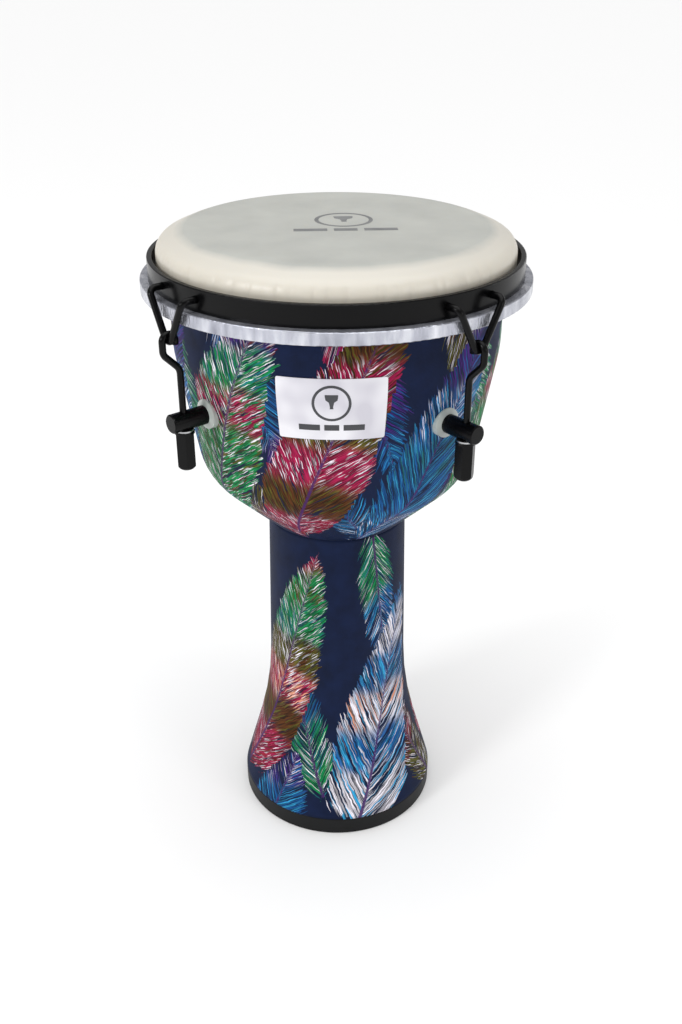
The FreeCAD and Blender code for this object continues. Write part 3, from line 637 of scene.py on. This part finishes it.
def onBowl(x, y, lift):  # x mm round the bowl from the plate's middle, y mm up from the plate's middle
    angle = math.radians(badge["middle"]) + x / badge["radius"]
    height = (badge["low"] + badge["high"]) / 2 + y
    lean = max(0.0, badge["shoulder"] - height) * badge["taper"]
    smooth = max(0.0, 1 - abs(height - badge["shoulder"]) / badge["softened"])
    radius = badge["radius"] - lean - smooth ** 2 * badge["softDepth"] + lift
    return Vector((radius * math.sin(angle), -radius * math.cos(angle), height)) * mm


halfWide = math.radians(badge["width"] / 2) * badge["radius"]
halfHigh = (badge["high"] - badge["low"]) / 2
straight = halfHigh - badge["corner"]
rows = list(np.linspace(-straight, straight, 15))
rows += [side * (straight + badge["corner"] * math.sin(math.radians(d)))
         for d in range(0, 91, 18) for side in (-1, 1)]
rows = sorted({round(v, 3) for v in rows})


def rowHalf(y):  # half the plate's width at this height, with its round corners
    over = abs(y) - straight
    if over <= 0:
        return halfWide
    return halfWide - badge["corner"] + math.sqrt(max(0.0, badge["corner"] ** 2 - over ** 2))


plateCells = [[(rowHalf(y0) * a, y0), (rowHalf(y0) * b, y0), (rowHalf(y1) * b, y1), (rowHalf(y1) * a, y1)]
              for y0, y1 in zip(rows, rows[1:])
              for a, b in zip(np.linspace(-1, 1, 33), np.linspace(-1, 1, 33)[1:])]
plateMesh = raised("badgePlate", plateCells, onBowl, badge["thickness"])
plate = newObject("badgePlate", plateMesh, foil, smooth=False)
emblemMesh = raised("badgeEmblem", emblemCells(badge["emblem"]), onBowl, 0.08, badge["thickness"])
plateEmblem = newObject("badgeEmblem", emblemMesh, darkInk, smooth=False)
for piece in (plate, plateEmblem):
    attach(piece, "shell")
    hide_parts("badge")


headMark = dict(turn=8, across=5, back=5, height=494.9, emblem=58, thickness=0.05, lift=0.02)


def onHead(x, y, lift):
    turn = math.radians(headMark["turn"])
    return Vector((x * math.cos(turn) - y * math.sin(turn) + headMark["across"],
                   x * math.sin(turn) + y * math.cos(turn) + headMark["back"],
                   headMark["height"] + lift)) * mm


markMesh = raised("headEmblem", emblemCells(headMark["emblem"]), onHead, headMark["thickness"],
                  headMark["lift"])
headEmblem = newObject("headEmblem", markMesh, greyInk, smooth=False)
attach(headEmblem, "shell")
print("head, badge and emblems made")


# claws and rods: bent wire, four of each about the drum
lugStart = math.radians(-45)
claw = dict(plane=142.05, spread=19.7, top=471.0, low=440.4, crotch=5.0, elbow=4.6, tip=128.8, wire=2.4)
rise = claw["top"] - claw["low"] - claw["crotch"]
lean = math.atan2(claw["spread"], rise) - math.asin(claw["crotch"] / math.hypot(claw["spread"], rise))
lowest = claw["top"] - claw["spread"] / math.tan(lean)
clawPath = roundedPath([(claw["tip"], -claw["spread"], claw["top"]),
                        (claw["plane"], -claw["spread"], claw["top"]),
                        (claw["plane"], 0, lowest),
                        (claw["plane"], claw["spread"], claw["top"]),
                        (claw["tip"], claw["spread"], claw["top"])],
                       [claw["elbow"], claw["crotch"], claw["elbow"]])
claws = repeated("claws", swept("claw", evenly(clawPath, 4), claw["wire"] - 0.01), 4, lugStart, powderCoat)
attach(claws, "tension_hoop")
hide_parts(*[f"claw_{i}" for i in (1, 2, 3, 4)])

rod = dict(shank=135.0, end=353.95, crank=420.0, outer=146.91, inner=137.19, crankTop=432.0, top=445.26,
           tip=437.4, bends=[9.0, 6.3, 4.76, 4.76])
rodPath = roundedPath([(rod["shank"], 0, rod["end"]), (rod["shank"], 0, rod["crank"]),
                       (rod["outer"], 0, rod["crankTop"]), (rod["outer"], 0, rod["top"]),
                       (rod["inner"], 0, rod["top"]), (rod["inner"], 0, rod["tip"])], rod["bends"])
rods = repeated("rods", swept("rod", evenly(rodPath, 4), claw["wire"] - 0.01), 4, lugStart, powderCoat)
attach(rods, "tension_hoop")
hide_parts(*[f"tuning_rod_{i}" for i in (1, 2, 3, 4)])
print("claws and rods made")


# CAD pieces keep their shape and get their finish
finishes = {"shell_bowl": mouldedShell, "shell_stem": mouldedShell, "foot_rubber_ring": footRubber,
            "counterhoop": powderCoat, "flesh_hoop": channel, "hoop_resin": castResin}
for i in (1, 2, 3, 4):
    finishes.update({f"lug_post_{i}": powderCoat, f"lug_saddle_{i}": clearPlastic,
                     f"lug_screw_{i}": zincSteel, f"backing_washer_{i}": zincSteel,
                     f"nut_washer_{i}": zincSteel, f"tuning_nut_{i}": powderCoat})
for name, material in finishes.items():
    piece = nodes[name]
    piece.data.materials.clear()
    piece.data.materials.append(material)
print("finishes set")


# floor, light and camera
floorMaterial = bpy.data.materials.new("paleFloor")
floorMaterial.use_nodes = True
floorSurface = floorMaterial.node_tree.nodes["Principled BSDF"]
floorSurface.inputs["Base Color"].default_value = linear("#F4F4F4")
floorSurface.inputs["Roughness"].default_value = 0.9
bpy.ops.mesh.primitive_plane_add(size=60)
floor = bpy.context.object
floor.name = "floor"
floor.location.z = -0.0002
floor.data.materials.append(floorMaterial)

world = bpy.data.worlds.new("studio")
world.use_nodes = True
world.node_tree.nodes["Background"].inputs["Color"].default_value = (1, 1, 1, 1)
world.node_tree.nodes["Background"].inputs["Strength"].default_value = 0.42
bpy.context.scene.world = world


def softbox(name, place, aim, size, power):
    light = bpy.data.lights.new(name, "AREA")
    light.size, light.energy = size, power
    lamp = bpy.data.objects.new(name, light)
    lamp.location = place
    lamp.rotation_euler = (Vector(aim) - Vector(place)).to_track_quat("-Z", "Y").to_euler()
    bpy.context.scene.collection.objects.link(lamp)


overhead = bpy.data.lights.new("overhead", "SUN")
overhead.energy, overhead.angle = 2.1, math.radians(70)
skylight = bpy.data.objects.new("overhead", overhead)
bpy.context.scene.collection.objects.link(skylight)
softbox("key", (-1.5, -1.5, 1.3), (0, 0, 0.3), 0.5, 17)
softbox("fill", (1.8, -1.2, 1.0), (0, 0, 0.3), 0.7, 7)

camera = bpy.data.cameras.new("camera")
camera.lens, camera.sensor_width, camera.sensor_fit = 38.08, 36, "AUTO"
eye = bpy.data.objects.new("camera", camera)
eye.location = (0.0718, -0.7612, 0.6754)
eye.rotation_euler = (math.radians(61.82), 0, math.radians(5.15))
bpy.context.scene.collection.objects.link(eye)
bpy.context.scene.camera = eye
bpy.context.scene.view_settings.view_transform = "Standard"

print("scene made")
